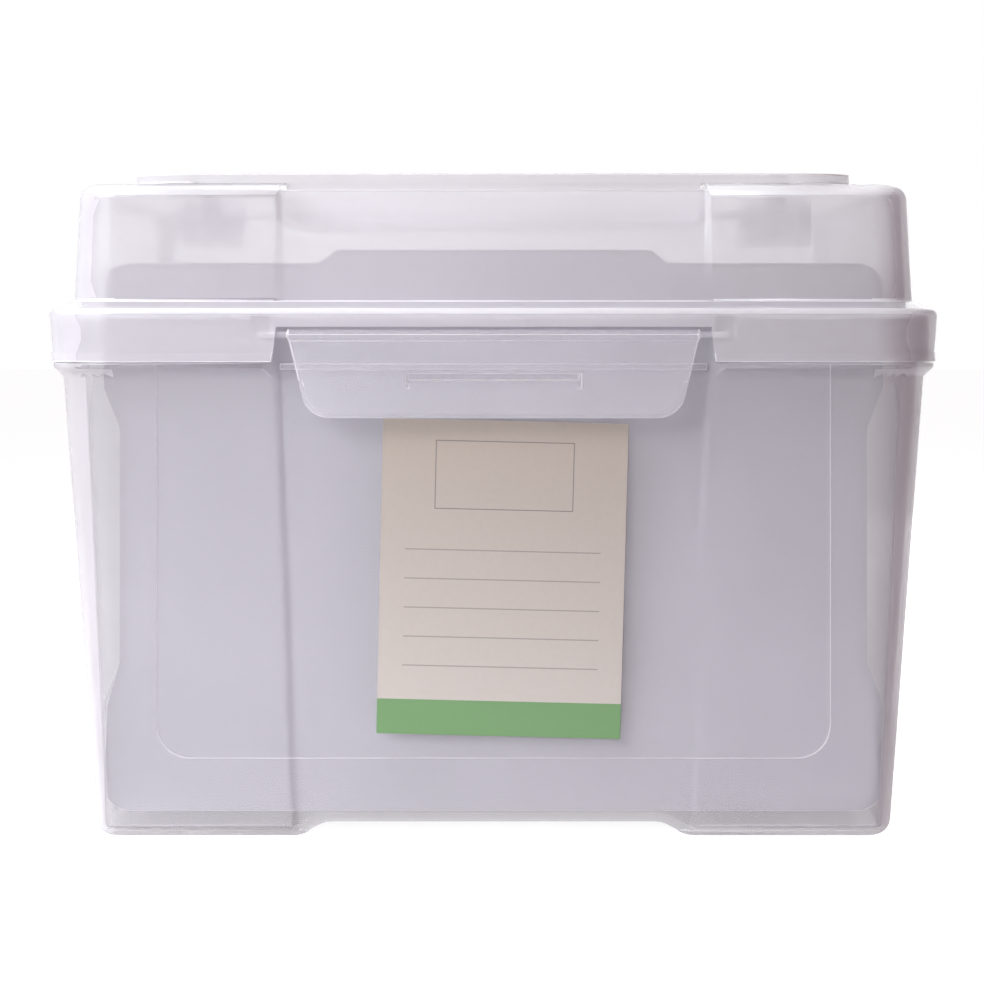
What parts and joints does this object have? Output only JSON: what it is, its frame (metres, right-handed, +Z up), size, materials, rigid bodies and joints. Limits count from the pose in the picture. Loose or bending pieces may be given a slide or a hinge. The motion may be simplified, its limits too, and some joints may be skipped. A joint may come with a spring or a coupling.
{
  "type": "photo keeper case",
  "caption": "Clear plastic keeper case with a hinged, latched lid and carry handle, holding a row of slim photo cases.",
  "frame": {"origin": "middle of the case's overall width and depth, back hinge included, on the surface it stands on", "axes": "+Z up, +X to the right seen from the front, the latch faces -Y"},
  "size_m": [0.22, 0.202, 0.1637],
  "materials": {
    "clear_shell": "satin, translucent polypropylene",
    "photo_case_plastic": "satin, translucent polypropylene",
    "label_paper": "smooth"
  },
  "bodies": {
    "outer_bin": {"bin": "clear_shell", "front_label": "label_paper"},
    "case_lid": {"lid": "clear_shell"},
    "latch": {"latch_flap": "clear_shell"},
    "carry_handle": {"handle": "clear_shell"},
    "photo_case_1": {"photo_case_1_tray": "photo_case_plastic", "photo_case_1_lid": "photo_case_plastic"},
    "photo_case_2": {"photo_case_2_tray": "photo_case_plastic", "photo_case_2_lid": "photo_case_plastic"},
    "photo_case_3": {"photo_case_3_tray": "photo_case_plastic", "photo_case_3_lid": "photo_case_plastic"},
    "photo_case_4": {"photo_case_4_tray": "photo_case_plastic", "photo_case_4_lid": "photo_case_plastic"},
    "photo_case_5": {"photo_case_5_tray": "photo_case_plastic", "photo_case_5_lid": "photo_case_plastic"},
    "photo_case_6": {"photo_case_6_tray": "photo_case_plastic", "photo_case_6_lid": "photo_case_plastic"}
  },
  "joints": [
    {"name": "lid_hinge", "type": "hinge", "parent": "outer_bin", "child": "case_lid", "pos_m": [0, 0.09698, 0.1185], "axis": [-1, 0, 0], "range_deg": [0, 110]},
    {"name": "latch_hinge", "type": "hinge", "parent": "case_lid", "child": "latch", "pos_m": [0, -0.09929, 0.12395], "axis": [-1, 0, 0], "range_deg": [0, 95]},
    {"name": "handle_hinge", "type": "hinge", "parent": "case_lid", "child": "carry_handle", "pos_m": [0, -0.00346, 0.1543], "axis": [-1, 0, 0], "range_deg": [0, 90]},
    {"name": "photo_case_1_lift", "type": "slide", "parent": "outer_bin", "child": "photo_case_1", "axis": [0, 0, 1], "range_m": [0, 0.0048]},
    {"name": "photo_case_2_lift", "type": "slide", "parent": "outer_bin", "child": "photo_case_2", "axis": [0, 0, 1], "range_m": [0, 0.0048]},
    {"name": "photo_case_3_lift", "type": "slide", "parent": "outer_bin", "child": "photo_case_3", "axis": [0, 0, 1], "range_m": [0, 0.0055]},
    {"name": "photo_case_4_lift", "type": "slide", "parent": "outer_bin", "child": "photo_case_4", "axis": [0, 0, 1], "range_m": [0, 0.0055]},
    {"name": "photo_case_5_lift", "type": "slide", "parent": "outer_bin", "child": "photo_case_5", "axis": [0, 0, 1], "range_m": [0, 0.013]},
    {"name": "photo_case_6_lift", "type": "slide", "parent": "outer_bin", "child": "photo_case_6", "axis": [0, 0, 1], "range_m": [0, 0.013]}
  ]
}
